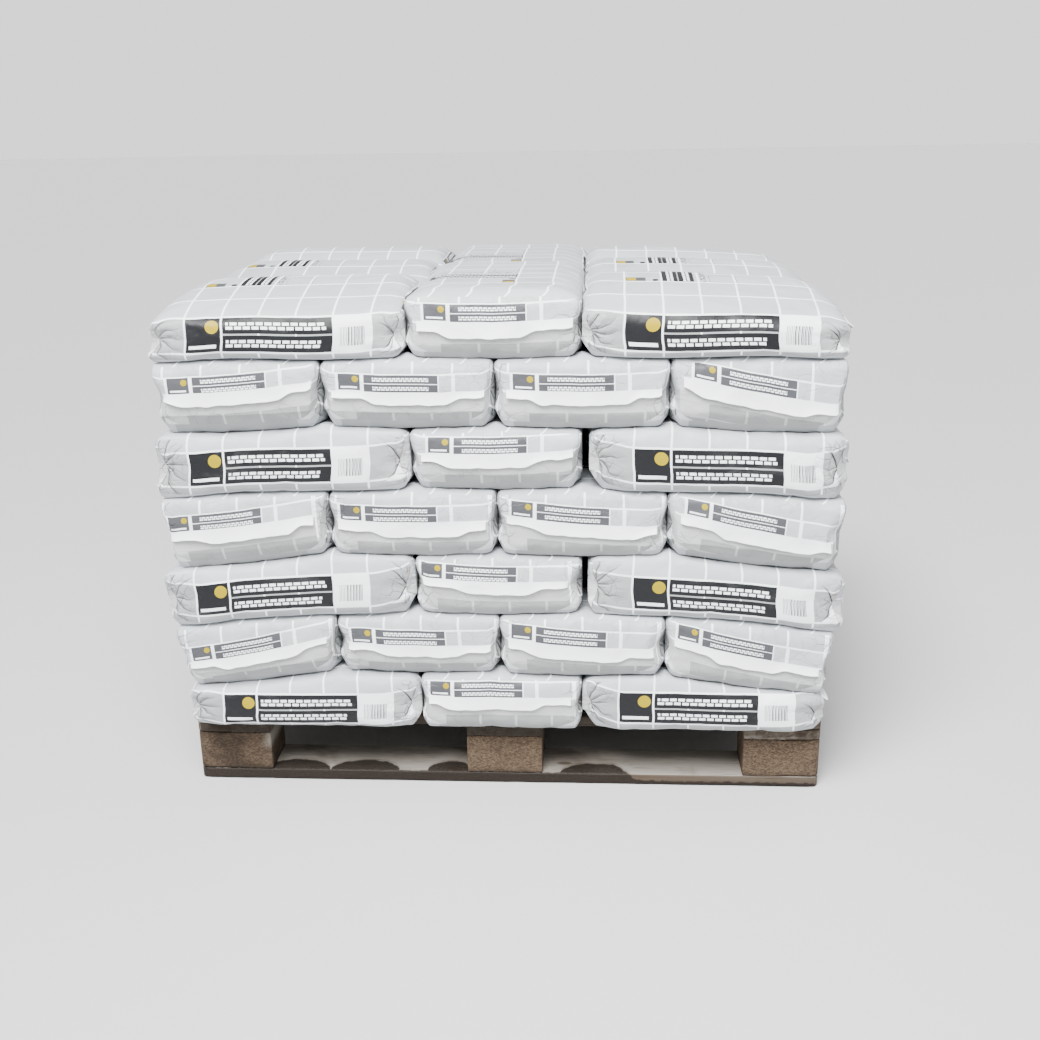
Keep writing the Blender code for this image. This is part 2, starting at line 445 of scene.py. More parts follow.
class Paint:
    """A material under construction, with its colour so far."""

    def __init__(self, name, colour):
        self.material = bpy.data.materials.new(name)
        self.material.use_nodes = True
        self.tree = self.material.node_tree
        self.place = add_node(self.tree, "ShaderNodeTexCoord", {}, "Object")
        self.colour = colour

    def coat(self, amount, colour):
        """Covers the colour so far with another one, fully where amount is 1."""
        inputs = {"Factor": amount, 6: self.colour, 7: colour}
        self.colour = add_node(self.tree, "ShaderNodeMix", inputs, 2, data_type="RGBA")

    def finish(self, roughness, height=None, **more):
        """The finished material. height is the relief of its surface, in metres."""
        inputs = {"Base Color": self.colour, "Roughness": roughness}
        if height is not None:
            relief = {"Height": height, "Strength": 1.0, "Distance": 1.0}
            inputs["Normal"] = add_node(self.tree, "ShaderNodeBump", relief)
        inputs |= {key.replace("_", " "): value for key, value in more.items()}
        feed(self.tree.nodes["Principled BSDF"], inputs)
        return self.material


def brick_rows(along, across, left, right, foot, top, length):
    """Two rows of light bricks in running bond, from left to right along and from foot to top across."""
    row = (across - foot) / ((top - foot) / 2)
    shifted = (along - left) / length + row.floor() * 0.5
    brick = (shifted.fract() < 0.80) * (row.fract() < 0.70)
    return brick * patch(along, across, left, right, foot, top)


def side_print(u, v):
    """Fields of a long side, as (mask, colour), for u from its left end and v from its foot."""
    low, high = FIRST_LINE + LINE / 2, FIRST_LINE + GRID - LINE / 2
    middle = (low + high) / 2
    left, right = 2 * GRID + LINE / 2, 5 * GRID - LINE / 2
    square = patch(u, v, GRID + LINE / 2, 2 * GRID - LINE / 2, low, high)
    bars = patch(u, v, left, right, low, high) - patch(u, v, left, right, middle - 0.0015, middle + 0.0015)
    disc = distance(u - (2 * GRID - 0.0165), v - (high - 0.0165)) < 0.0118
    words = either(
        brick_rows(u, v, left + 0.006, right - 0.011, middle + 0.0085, high - 0.0070, 0.0150),
        brick_rows(u, v, left + 0.006, right - 0.020, low + 0.0085, middle - 0.0070, 0.0150),
    )
    stripe = u / 0.0027
    thickness = stripe.floor().chance(3.3) * 0.60 + 0.22
    code = patch(u, v, 5 * GRID + 0.010, 5 * GRID + 0.053, low + 0.010, low + 0.042)
    return [
        (either(square, bars), PANEL_DARK),
        (disc * square, MARK_YELLOW),
        (patch(u, v, GRID + 0.007, 2 * GRID - 0.009, low + 0.007, low + 0.0135), PAPER_WHITE),
        (words, PAPER_WHITE),
        (patch(u, v, 5 * GRID - LINE / 2, 6 * GRID, low - LINE / 2, high + LINE / 2), PAPER_WHITE),
        (code * (stripe.fract() < thickness), PANEL_DARK),
        (patch(u, v, 6 * GRID + 0.012, 7 * GRID - 0.014, middle - 0.0004, middle + 0.0006), BAND_GREY),
    ]


def top_print(u, v):
    """Fields of the top face: two dark bars with a light row of bricks, a small mark and an outlined box."""
    p, q = u - GRID, v - (FIRST_LINE + 3 * GRID + LINE / 2)
    fields = [
        (patch(p, q, 0.0015, 0.0370, 0.0, 0.022), SMALL_PANEL),
        (patch(p, q, 0.0035, 0.0200, 0.003, 0.020), MARK_YELLOW),
        (patch(p, q, 0.0490, 0.0585, 0.0, 0.012), PANEL_DARK),
    ]
    for left in (GRID + 0.0015, GRID + 0.0300):
        rows = brick_rows(q, p, 0.003, 0.152, left + 0.0085, left + 0.0215, 0.0130)
        fields += [(patch(p, q, left, left + 0.0270, 0.0, 0.160), PANEL_DARK), (rows, PAPER_WHITE)]
    dots = (u / 0.0026).floor().chance((v / 0.0034).floor()) > 0.55
    p = p - 2 * GRID
    box = patch(p, q, 0.0200, 0.0680, 0.002, 0.048) - patch(p, q, 0.0208, 0.0672, 0.003, 0.047)
    return fields + [(patch(p, q, 0.0040, 0.0140, 0.0, 0.160) * dots, SMALL_PANEL), (box, SMALL_PANEL)]


def end_print(a, h):
    """Fields of a sack's end face, for a from its left edge and h from its foot."""
    fields = [(patch(a, h, *span), colour) for colour, *span in END_FIELDS]
    split = ((a - 0.045) / 0.0628).fract() < 0.935
    return fields + [
        (patch(a, h, 0.045, 0.271, 0.0075, 0.0345) * split, BAND_GREY),
        (h.between(-1.0, 0.0050) * split, BAND_GREY),
        (distance(a - 0.0470, h - 0.0895) < 0.0052, MARK_YELLOW),
        (brick_rows(a, h, 0.075, 0.166, 0.0728, 0.0796, 0.0072), PAPER_WHITE),
        (brick_rows(a, h, 0.075, 0.166, 0.0873, 0.0941, 0.0072), PAPER_WHITE),
        (a.between(0.2712, 0.2745) * (h > 0.030), PAPER_WHITE),
    ]


def sack_paper():
    """Coated paper: white lines round grey squares, dark fields, folds and creases near the ends with painted
    shade in them, satin.
    """
    paint = Paint("printed_paper", SQUARE_GREY)
    place = paint.place
    u, v, _ = add_node(paint.tree, "ShaderNodeUVMap", {}, uv_map="print").split()
    fold_u, fold_v, _ = add_node(paint.tree, "ShaderNodeUVMap", {}, uv_map="folds").split()
    on_tube = u < END_REGION / 2
    on_high = in_region(u, HIGH_END_REGION)
    on_end = either(in_region(u, END_REGION), on_high)
    region = on_high * (HIGH_END_REGION - END_REGION) + END_REGION
    a = u - region

    # squares and the lines between them
    line_u = (u.to_line(GRID) < LINE / 2) * u.between(LINE, SACK_LENGTH - LINE)
    line_v = (v - FIRST_LINE + GRID).to_line(GRID) < LINE / 2
    line_a = ((a - on_high * HIGH_END_LINE - END_LINE + GRID).to_line(GRID) < LINE / 2) * (v > 0.099)
    lines = either(on_tube * either(line_u, line_v), on_end * either(line_a, v.between(0.0965, 0.0995)))
    tone = (u / GRID).floor().chance(((v - FIRST_LINE) / GRID).floor(), 0.5)
    paint.coat(tone * 0.30, BAND_GREY)
    paint.coat(on_tube * (v < FIRST_LINE + GRID) * 0.70, BAND_GREY)
    paint.coat(either(lines, u > FLAP_REGION - 0.1), PAPER_WHITE)

    # printed fields
    for mask, tint in side_print(u, v) + top_print(u, v):
        paint.coat(mask * on_tube, tint)
    paint.coat(in_region(u, UNDER_REGION) * v.between(0.045, SACK_WIDTH - 0.032) * 0.9, BAND_GREY)
    for mask, tint in end_print(a, v):
        paint.coat(mask * on_end, tint)

    # folded corners: two creases meet at the right end of a long side, and the foot is white below them
    from_end = least(fold_u, SACK_LENGTH - fold_u)
    off_middle = abs(fold_v - SACK_HEIGHT / 2)
    wobble = (place.noise(22.0) - 0.5) * 0.0030 + (place.noise(75.0) - 0.5) * 0.0022
    on_side = on_tube * (fold_v < SACK_HEIGHT)
    beside = (off_middle * 0.055 - (from_end + 0.002) * 0.046) * 13.9 + wobble
    right_side = on_side * (fold_u > SACK_LENGTH / 2) * (off_middle < 0.040)
    side_fold = right_side * beside.ramp(-0.0004, 0.0004) * from_end.ramp(0.046, 0.036)
    side_crease = right_side * abs(beside).ramp(0.0021, 0.0003) * from_end.ramp(0.046, 0.022)
    from_edge = least(fold_u - region, SACK_WIDTH - (fold_u - region))
    corner = ((from_edge + fold_v) / 0.040 - 1.0) * 0.028 + wobble
    end_fold = on_end * corner.ramp(0.0006, -0.0006)
    paint.coat(either(side_fold * (fold_v < SACK_HEIGHT / 2) * 0.9, end_fold * 0.5), PAPER_WHITE)

    # pleats that run together in a point at the left of a long side, and fewer at its right
    drift = place.noise(16.0) * 6.0
    pleat = abs((angle(fold_v - 0.062, fold_u + 0.006) * 6.5 + drift).sine())
    pleat_zone = on_side * fold_u.ramp(0.074, 0.020) * place.noise(31.0).ramp(0.24, 0.46)
    right_pleat = abs((angle(fold_v - 0.058, SACK_LENGTH + 0.004 - fold_u) * 4.5 + drift).sine())
    right_zone = on_side * fold_u.ramp(SACK_LENGTH - 0.052, SACK_LENGTH - 0.012)
    right_zone *= place.noise(43.0).ramp(0.42, 0.56)
    valley = either(pleat.ramp(0.26, 0.02) * pleat_zone, right_pleat.ramp(0.20, 0.02) * right_zone)

    # crumpled paper: sharp broken creases near the ends, with painted shade along them, and soft dents all
    # over
    near_end = either(on_side * from_end.ramp(0.085, 0.004), on_end * from_edge.ramp(0.055, 0.004))
    near_end = either(near_end, on_end * 0.25)
    warped = place
    for scale, amount in ((14.0, 0.030), (48.0, 0.010)):
        pushed = {0: warped, 1: place.push(scale, amount)}
        warped = place.node("ShaderNodeVectorMath", pushed, operation="ADD")
    crack = warped.cells(42.0, "DISTANCE_TO_EDGE").ramp(0.055, 0.0) * place.noise(19.0).ramp(0.42, 0.60)
    ripples = place.stretched(1.0, 1.0, 1.6).noise(34.0, 3.0, 0.55, 0.6)
    # painted shade in the pleat valleys, along the creases of the folded corners, and along the broken
    # creases near the ends
    paint.coat(either(valley * 0.75, side_crease), CREASE_SHADE)
    paint.coat(crack * near_end * 0.38, CREASE_SHADE)
    bare = on_side * (fold_v < 0.100) * from_end.ramp(0.0030, 0.0014)
    paint.coat(bare * place.noise(26.0, 3.0).ramp(0.46, 0.54) * 0.8, KRAFT_BROWN)

    # handling marks: faint grey smears and rubbed print
    smear = place.stretched(1.0, 1.0, 2.4).noise(7.0, 5.0, 0.65, 0.6).ramp(0.52, 0.80)
    paint.coat(smear * 0.14, BAND_GREY)
    paint.coat(place.noise(95.0, 3.0, 0.7).ramp(0.62, 0.82) * smear * 0.30, PAPER_WHITE)

    height = place.noise(24.0, 2.0, 0.5, 0.3) * 0.0018 + warped.cells(17.0) * 0.0036
    height += ripples * (near_end * 0.0036 + 0.0007) - crack * (near_end * 0.0014 + 0.0001)
    height += pleat * pleat_zone * 0.0030 + right_pleat * right_zone * 0.0018 - valley * 0.0010
    height += (side_fold - side_crease) * 0.0012 + place.noise(900.0, 2.0, 0.6) * 0.000012
    roughness = place.noise(40.0, 3.0) * 0.16 + 0.36
    return paint.finish(roughness, height, Specular_IOR_Level=PAPER_SHINE)


def sawn_timber(along):
    """Weathered softwood, its grain along X (0) or Y (1), dusty on top, wet along its outer lower edge, and
    with painted shade along its upper outer edges.
    """
    paint = Paint("sawn_timber_" + "xy"[along], BOARD_BROWN)
    place = paint.place
    x, y, z = place.split()
    stretched = place.stretched(*((26.0, 1.2, 26.0) if along else (1.2, 26.0, 26.0)))
    grain = stretched.noise(2.2, 6.0, 0.65, 0.8)
    fine = stretched.noise(11.0, 3.0, 0.6)
    worn = place.noise(5.0, 4.0, 0.6, 0.4)
    grit = place.noise(420.0, 3.0, 0.7)
    paint.coat(grain.ramp(0.28, 0.70), BOARD_GREY)
    paint.coat(fine.ramp(0.56, 0.74) * 0.45, CHIP_DARK)
    past_x = most(abs(x) - (PALLET_HALF_LENGTH - CORNER_ROUNDING), 0.0)
    past_y = most(abs(y) - (DECK_HALF_WIDTH - CORNER_ROUNDING), 0.0)
    dust = worn.ramp(0.26, 0.48) * z.ramp(0.0150, 0.0205) * (z < 0.030)
    paint.coat(dust * (distance(past_x, past_y) < CORNER_ROUNDING - AT_FACE) * 0.88, DUST_GREY)
    paint.coat(fine.ramp(0.54, 0.70) * 0.40, CHIP_DARK)
    paint.coat(grit.ramp(0.58, 0.70) * 0.45, CHIP_DARK)
    paint.coat(place.stretched(1.6, 4.0, 4.0).cells(2.1).ramp(0.060, 0.035) * 0.7, CHIP_DARK)

    # dark outer faces: damp end faces, and painted shade along the upper edges of the long faces where the
    # load hangs over them; less of both where the wood is torn on the right
    long_face = abs(y) > DECK_HALF_WIDTH - AT_FACE
    end_face = long_face if along else abs(x) > PALLET_HALF_LENGTH - AT_FACE
    shaded_long_edge = long_face * (z > 0.090)
    torn_right = x.ramp(0.40, 0.46)
    # damp end grain and painted shade under the overhanging load, in one dark coat
    paint.coat(either(end_face * 0.65, shaded_long_edge * 0.72) * (1.0 - torn_right * 0.85), WET_WOOD_AND_SHADE)
    slivers = place.stretched(9.0, 9.0, 60.0).noise(2.6, 4.0, 0.6, 0.5).ramp(0.46, 0.60)
    paint.coat(shaded_long_edge * torn_right * slivers * z.ramp(0.112, 0.104) * 0.50, DUST_GREY)
    on_bottom_board = z < BOTTOM_BOARD_TOP
    paint.coat(long_face * on_bottom_board * 0.45, CHIP_DARK)

    # wet lobes, with a damp rim, up from the lower outer edge of the long sides
    uneven_x = x + (worn - 0.5) * 0.040
    lobes = 0.0
    for middle, half in WET_LOBES:
        aside = (uneven_x - middle) / half
        lobes = most(lobes, 1.0 - aside * aside)
    dry = (x + (worn - 0.5) * 0.10).ramp(0.20, 0.27) * 0.92
    reach = (lobes.root() * 0.036 + 0.024) * (1.0 - dry) + dry * 0.007
    reach += (place.noise(75.0, 3.0) - 0.5) * 0.012
    past_reach = DECK_HALF_WIDTH - abs(y) + z - reach
    wet = past_reach.ramp(0.0012, -0.0012) * on_bottom_board
    paint.coat(past_reach.ramp(0.0120, 0.0) * on_bottom_board * 0.35, CHIP_DARK)
    paint.coat(wet * grit.ramp(0.66, 0.50, 0.60, 0.97), WET_WOOD_AND_SHADE)
    height = grain * 0.0012 + fine * 0.0005 + grit * 0.0002
    return paint.finish(wet.ramp(0.0, 1.0, 0.82, 0.62), height, Specular_IOR_Level=WOOD_SHINE)


def pressed_chips():
    """Blocks of pressed wood chips: light and dark flakes, damp at the foot, dusty and torn in places, with
    painted shade in their pits.
    """
    paint = Paint("pressed_chips", CHIP_DARK)
    place = paint.place
    x, _, z = place.split()
    shade = place.stretched(1.0, 1.0, 1.7).cells(300.0, output="Color").split()[0]
    fine = place.noise(480.0, 4.0, 0.75)
    broad = place.noise(16.0, 4.0, 0.6)
    speckle = place.noise(210.0, 3.0, 0.7).ramp(0.60, 0.70)
    eroded = x.ramp(-0.40, -0.46)
    torn = eroded * (x + (broad - 0.5) * 0.06).ramp(-0.486, -0.462) * z.ramp(0.060, 0.085)
    foot = (z + (fine - 0.5) * 0.012).ramp(0.036, 0.022)
    pits = place.cells(150.0).ramp(0.16, 0.05)
    paint.coat((shade * 0.35 + fine * 0.65).ramp(0.30, 0.70), CHIP_LIGHT)
    paint.coat(speckle * 0.38, WET_WOOD_AND_SHADE)
    paint.coat(broad.ramp(0.36, 0.60) * (eroded * 0.42 + 0.14), WET_WOOD_AND_SHADE)
    paint.coat(eroded * 0.22, WET_WOOD_AND_SHADE)
    paint.coat(torn * 0.60, DUST_GREY)
    paint.coat(foot * 0.45, WET_WOOD_AND_SHADE)
    # painted shade in the pits
    paint.coat(pits * 0.7, WET_WOOD_AND_SHADE)
    height = shade * 0.0004 + fine * 0.0009 - pits * 0.0012 - speckle * 0.0004 + broad * 0.0020
    return paint.finish(0.88, height, Specular_IOR_Level=WOOD_SHINE)


def nail_steel():
    """Dull zinc with rust spots."""
    paint = Paint("nail_steel", ZINC_GREY)
    rust = paint.place.noise(400.0, 4.0).ramp(0.45, 0.60)
    paint.coat(rust, RUST_BROWN)
    return paint.finish(rust.ramp(0.0, 1.0, 0.40, 0.85), Metallic=0.8)


def graded(length, zone):
    """Positions from 0 to length: close together within zone of both ends, further apart between."""
    edge = np.linspace(0.0, zone, round(zone / FINE_CELL), endpoint=False)
    middle = np.linspace(zone, length - zone, round((length - 2 * zone) / COARSE_CELL) + 1)
    return np.concatenate([edge, middle, (length - edge)[::-1]])


LENGTH_LINES = graded(SACK_LENGTH, END_ZONE)
WIDTH_LINES = graded(SACK_WIDTH, SIDE_ZONE)
HEIGHT_LINES = np.linspace(0.0, SACK_HEIGHT, round(SACK_HEIGHT / FINE_CELL) + 1)
ALL_LINES = (LENGTH_LINES, WIDTH_LINES, HEIGHT_LINES)


@functools.cache
def shell(cells):
    """Surface of a block of cells: points as (i, j, k), faces, and each face's side as a number in SIDES."""
    index = {}
    faces, sides = [], []
    for side in range(6):
        axis, high = divmod(side, 2)
        first, second = [other for other in range(3) if other != axis]
        for p, q in np.ndindex(cells[first], cells[second]):
            loop = []
            for dp, dq in ((0, 0), (1, 0), (1, 1), (0, 1)):
                at = [cells[axis] * high] * 3
                at[first] = p + dp
                at[second] = q + dq
                loop.append(index.setdefault(tuple(at), len(index)))
            outward = (high == 1) != (axis == 1)
            faces.append(loop if outward else loop[::-1])
            sides.append(side)
    return np.array(list(index), int), np.array(faces), np.array(sides)


def on_grid(index, values):
    """Values of the points of a shell, in an array by their (i, j, k)."""
    grid = np.zeros((*index.max(axis=0) + 1, 3))
    grid[tuple(index.T)] = values
    return grid


def on_flat_sack(index):
    """Where grid points lie on the flat sack, in metres and from -1 to 1, and how far from its ends."""
    at = np.stack([lines[numbers] for lines, numbers in zip(ALL_LINES, index.T)], axis=1)
    return at, at / SACK_SIZE * 2 - 1, np.minimum(at[:, 0], SACK_LENGTH - at[:, 0])


def grid_mesh(name, points, faces, crisp=None):
    """A smooth mesh, with its edges crisp where it folds by more than so many degrees."""
    mesh = bpy.data.meshes.new(name)
    mesh.from_pydata(points.tolist(), [], faces.tolist())
    mesh.shade_smooth()
    if crisp:
        mesh.set_sharp_from_angle(angle=math.radians(crisp))
    return mesh


def rounded(unit, half, rounding, fullness=2.0):
    """Places the points of a block, given from -1 to 1, on a block with rounded edges.

    rounding holds, for each point, how far the rounding reaches along the three axes.
    """
    flat = unit * half
    core = np.clip(flat, rounding - half, half - rounding)
    out = np.abs(flat - core) / rounding
    power = np.broadcast_to(fullness, len(unit))[:, None]
    roundness = np.clip(power - 1, 0.0, 1.0)
    spread = (1 - roundness) * out / (2 - out) + roundness * np.tan(out * math.pi / 4)
    size = (spread**power).sum(axis=1, keepdims=True) ** (1 / power)
    return core + np.sign(flat - core) * rounding * spread / np.maximum(size, 1e-9)


def edge_shape(level, from_end, slackness=1.0):
    """Rounding and fullness of a sack's edges, for a level from -1, its foot, to 1, its top.

    slackness is how far the folded corners at the foot reach, as a share of the usual.
    """
    up = smooth(level, 0.0, 0.8)
    down = smooth(-level, 0.0, 0.8)
    inward = smooth(from_end, 0.010, 0.080)
    lower_end = LOWER_END_ROUNDING * slackness
    lower = lower_end + inward[:, None] * (LOWER_SIDE_ROUNDING - lower_end)
    rounding = PLAN_ROUNDING + up[:, None] * (UPPER_ROUNDING - PLAN_ROUNDING)
    rounding += down[:, None] * (lower - PLAN_ROUNDING)
    fullness = FOLDED_EDGE + up * (COVERED_EDGE - FOLDED_EDGE)
    fullness += down * inward * (SIDE_EDGE - FOLDED_EDGE)
    return rounding, fullness


def filled(variant):
    """Fills one sack under pressure, and returns how far each grid point moves, as an (i, j, k, 3) array.

    The paper near the ends is a little too long for the shape, so it puckers there as it fills.
    """
    points, faces, _ = shell(tuple(len(lines) - 1 for lines in ALL_LINES))
    at, unit, from_end = on_flat_sack(points)
    rest = rounded(unit, SACK_SIZE / 2, *edge_shape(unit[:, 2], from_end))
    ripple = rough(rest, 30, (3.1 * variant, 7.7 * variant, 1.3))
    piece = link("filling", grid_mesh("filling", rest * (1 + PUCKER * ripple[:, None]), faces))
    pressed = piece.vertex_groups.new(name="pressed")
    loose = piece.vertex_groups.new(name="loose")
    from_side = np.minimum(at[:, 1], SACK_WIDTH - at[:, 1])
    on_face = np.abs(unit[:, 2]) > 0.999
    for number in np.flatnonzero(on_face & (np.minimum(from_end, from_side) > PRESSED_FROM)):
        pressed.add([int(number)], 1.0, "REPLACE")
    for number, weight in enumerate(1 - smooth(from_end, *LOOSE_ZONE)):
        loose.add([number], float(weight), "REPLACE")
    cloth = piece.modifiers.new("filling", "CLOTH")
    for key, value in FILLING.items():
        setattr(cloth.settings, key, value)
    cloth.settings.effector_weights.gravity = 0
    cloth.collision_settings.use_collision = False
    cloth.point_cache.frame_start = 1
    cloth.point_cache.frame_end = FILL_FRAMES
    for number in range(1, FILL_FRAMES + 1):
        bpy.context.scene.frame_set(number)
    result = bpy.data.meshes.new_from_object(piece.evaluated_get(bpy.context.evaluated_depsgraph_get()))
    after = np.zeros(len(points) * 3)
    result.vertices.foreach_get("co", after)
    bpy.data.objects.remove(piece)
    bpy.data.meshes.remove(result)
    bpy.context.scene.frame_set(1)
    return on_grid(points, after.reshape(-1, 3) - rest)


def sag_run(x):
    """How far x lies past the fold of the layers, with a soft start."""
    past = np.abs(x) - FOLD_X
    soft = np.maximum(past + FOLD_SOFTNESS, 0.0) ** 2 / (4 * FOLD_SOFTNESS)
    return np.where(past > FOLD_SOFTNESS, past, soft)


def bearing(middle_height, sag, wave=0.0):
    """The surface between two layers: level in the middle, sloping down to the ends, and softly waved."""

    def height(x, y):
        pillow = wave * np.cos(2 * math.pi * (x - FOLD_X / 2) / FOLD_X)
        return middle_height - sag * sag_run(x) / SAG_REACH + pillow + 0 * y

    return height


def deck_bearing(droop):
    """The deck, and how far a sack hangs down past its long edges."""

    def height(x, y):
        past = np.clip((np.abs(y) - DECK_HALF_WIDTH) / (LOAD_DEPTH / 2 - DECK_HALF_WIDTH), 0.0, 1.0)
        return DECK_TOP - droop * past**1.5 + 0 * x

    return height


def joint_ridge(x, y, kind, reach):
    """How far a sack bulges up where the sacks of the layer above meet, near the outside of the load."""
    if kind == "row":
        across = np.minimum.reduce([np.abs(x), np.abs(np.abs(x) - FOLD_X)])
        along = np.abs(y)
    else:
        across = np.abs(np.abs(x) - COLUMN_EDGE)
        along = np.where(np.abs(x) > COLUMN_EDGE, np.abs(np.abs(y) - LOAD_DEPTH / 6), np.abs(y))
    nearest = np.minimum(across, along)
    outside = np.maximum(smooth(np.abs(x), *RIDGE_ZONE_X), smooth(np.abs(y), *RIDGE_ZONE_Y))
    return JOINT_RIDGE * outside * np.cos(np.clip(nearest / reach, 0.0, 1.0) * math.pi / 2) ** 2


def outer_lean(x, below, above):
    """How much further out the top of an outer end stands than its foot, square to the sagging layers."""
    fall = (below(0.0, 0.0) - below(x, 0.0) + above(0.0, 0.0) - above(x, 0.0)) / 2
    return fall / (abs(x) - FOLD_X) * (above(x, 0.0) - below(x, 0.0))


class Sack:
    """One sack: its place in the load, the surfaces it lies between, and its own variation.

    joints are the kinds of layer whose joints press into its foot and its top. given_print is how far its
    print lies to the right and down, and how much it runs down to the right, as far as that is given.
    """

    def __init__(self, name, slot, lies, between, open_sides, variant, joints, given_print):
        self.name = name
        self.slot = slot
        self.lies = lies
        self.below, self.above = between
        self.open_sides = open_sides
        self.variant = variant
        self.joints_below, self.joints_above = joints
        self.crowned = self.joints_above is None
        self.random = np.random.RandomState(variant * 7 + 11)
        self.misprint = self.random.uniform(-0.003, 0.003, 2) * (1.0, 0.5)
        self.tilt = self.random.uniform(-0.02, 0.02)
        if given_print:
            self.misprint = np.array(given_print[:2])
        if given_print[2:]:
            self.tilt = given_print[2]
        proud = zip(OUTWARD, self.random.uniform(-0.0035, 0.0035, 4))
        self.stands_proud = [move if side in open_sides else 0.0 for side, move in proud]
        self.slackness = self.random.uniform(0.50, 1.10)

    def shows(self, side):
        return FACES[self.lies][side] in self.open_sides

    def lines(self):
        """Which grid lines this sack keeps along its length, width and height: fewer where it is hidden."""
        keep = [np.arange(len(lines)) for lines in ALL_LINES]
        if self.shows("side_low") or self.shows("side_high") or self.crowned:
            return keep
        from_end = np.minimum(LENGTH_LINES, SACK_LENGTH - LENGTH_LINES)
        widest = np.where(from_end > HIDDEN_EDGE, HIDDEN_CELL, HIDDEN_EDGE_CELL)
        widest[-1] = 0.0
        if self.shows("end_low"):
            widest[LENGTH_LINES < SIDE_ZONE] = 0.0
        if self.shows("end_high"):
            widest[LENGTH_LINES > SACK_LENGTH - SIDE_ZONE] = 0.0
        kept = [0]
        for number, place in enumerate(LENGTH_LINES):
            if place - LENGTH_LINES[kept[-1]] > widest[number]:
                kept.append(number)
        keep[0] = np.array(kept)
        return keep

    def roof(self, x, y):
        """The top of the sack: the layer above, or its own crown, which falls away towards its edges."""
        high = self.above(x, y)
        if not self.crowned:
            return high
        x_low, x_high, y_low, y_high = self.slot
        total = 0.0
        for side, distance_in in zip(OUTWARD, (x - x_low, x_high - x, y - y_low, y_high - y)):
            fall, reach, hollow = self.crown_fall(side)
            total = total + (fall * np.clip(1 - distance_in / reach, 0.0, 1.0) ** hollow) ** 2
        return high + CROWN_RISE - np.sqrt(total)

    def crown_fall(self, side):
        is_end = side[0] == self.lies
        if self.lies == "y":
            return MIDDLE_END_FALL if is_end else MIDDLE_SIDE_FALL
        if is_end:
            return OPEN_END_FALL if side in self.open_sides else INNER_END_FALL
        slopes_to_front = "y+" not in self.open_sides
        return OPEN_SIDE_FALL if (side == "y-") == slopes_to_front else INNER_SIDE_FALL

    def shape(self):
        """Points, faces and sides of the sack in place, and its grid places and lines."""
        keep = self.lines()
        cells, faces, sides = shell(tuple(len(numbers) - 1 for numbers in keep))
        index = np.stack([keep[axis][cells[:, axis]] for axis in range(3)], axis=1)
        at, unit, from_end = on_flat_sack(index)
        x_low, x_high, y_low, y_high = self.slot
        middle = np.array([(x_low + x_high) / 2, (y_low + y_high) / 2])
        spans = np.array([x_high - x_low, y_high - y_low]) / 2
        if self.lies == "y":
            spans = spans[::-1]
        tall = float(self.roof(*middle) - self.below(*middle)) / 2
        half = np.array([*spans, tall])
        rounding, fullness = edge_shape(unit[:, 2], from_end, self.slackness)
        local = rounded(unit, half, np.minimum(rounding, half * 0.98), fullness)
        for axis, (low_side, high_side) in enumerate((SIDES[:2], SIDES[2:4])):
            shows = np.where(local[:, axis] < 0, self.shows(low_side), self.shows(high_side))
            local[:, axis] *= 1 - BELLY_ROOM * shows / half[axis]
        local += self.filling(*index.T)
        level = (local[:, 2] + tall) / (2 * tall)
        if self.lies == "x":
            x, y = middle[0] + local[:, 0], middle[1] + local[:, 1]
        else:
            x, y = middle[0] - local[:, 1], middle[1] + local[:, 0]
        x, y = self.within_slot(*self.standing_proud(self.leaning(x, level), y))
        low = self.below(x, y) + GAP
        if self.joints_below:
            low += joint_ridge(x, y, self.joints_below, JOINT_GROOVE_REACH)
        high = self.roof(x, y) - GAP
        z = low + (high - low) * np.clip(level, 0.0, 2.0 if self.crowned else 1.0)
        if self.joints_above:
            z += joint_ridge(x, y, self.joints_above, JOINT_REACH) * np.clip(level, 0.0, 1.0) ** 9
        return np.stack([x, y, z], axis=1), faces, sides, cells, at

    def filling(self, i, j, k):
        """How the filling moves the paper of this sack: one of the simulated bags, mirrored or not."""
        turn = np.ones(3)
        if self.variant // 3 % 2:
            i = len(LENGTH_LINES) - 1 - i
            turn[0] = -1
        if self.variant // 2 % 2:
            j = len(WIDTH_LINES) - 1 - j
            turn[1] = -1
        move = FILLED[self.variant % len(FILLED)][i, j, k] * turn
        size = np.linalg.norm(move, axis=1, keepdims=True)
        return move * SHARE_OF_MOVE * np.minimum(1.0, MOST_MOVE / np.maximum(size, 1e-9))

    def leaning(self, x, level):
        """Leans an outer end out at its top, and stands the foot of an end that faces outwards forward."""
        for side, sign, edge in (("x-", -1, self.slot[0]), ("x+", 1, self.slot[1])):
            if side in self.open_sides:
                share = np.clip((np.abs(x) - FOLD_X) / (abs(edge) - FOLD_X), 0.0, 1.0)
                lean = outer_lean(edge, self.below, self.above) * (level - 0.5)
                if self.lies == "x":
                    lean += FOOT_REACH * smooth(0.5 - level, 0.0, 0.4)
                x = x + sign * lean * share
        return x

    def standing_proud(self, x, y):
        """Moves the faces that show a few millimetres out or in, and none that touch other sacks."""
        x_low, x_high, y_low, y_high = self.slot
        left, right, front, back = self.stands_proud
        across = np.clip((x - x_low) / (x_high - x_low), 0.0, 1.0)
        inward = np.clip((y - y_low) / (y_high - y_low), 0.0, 1.0)
        return x + left * (1 - across) + right * across, y + front * (1 - inward) + back * inward

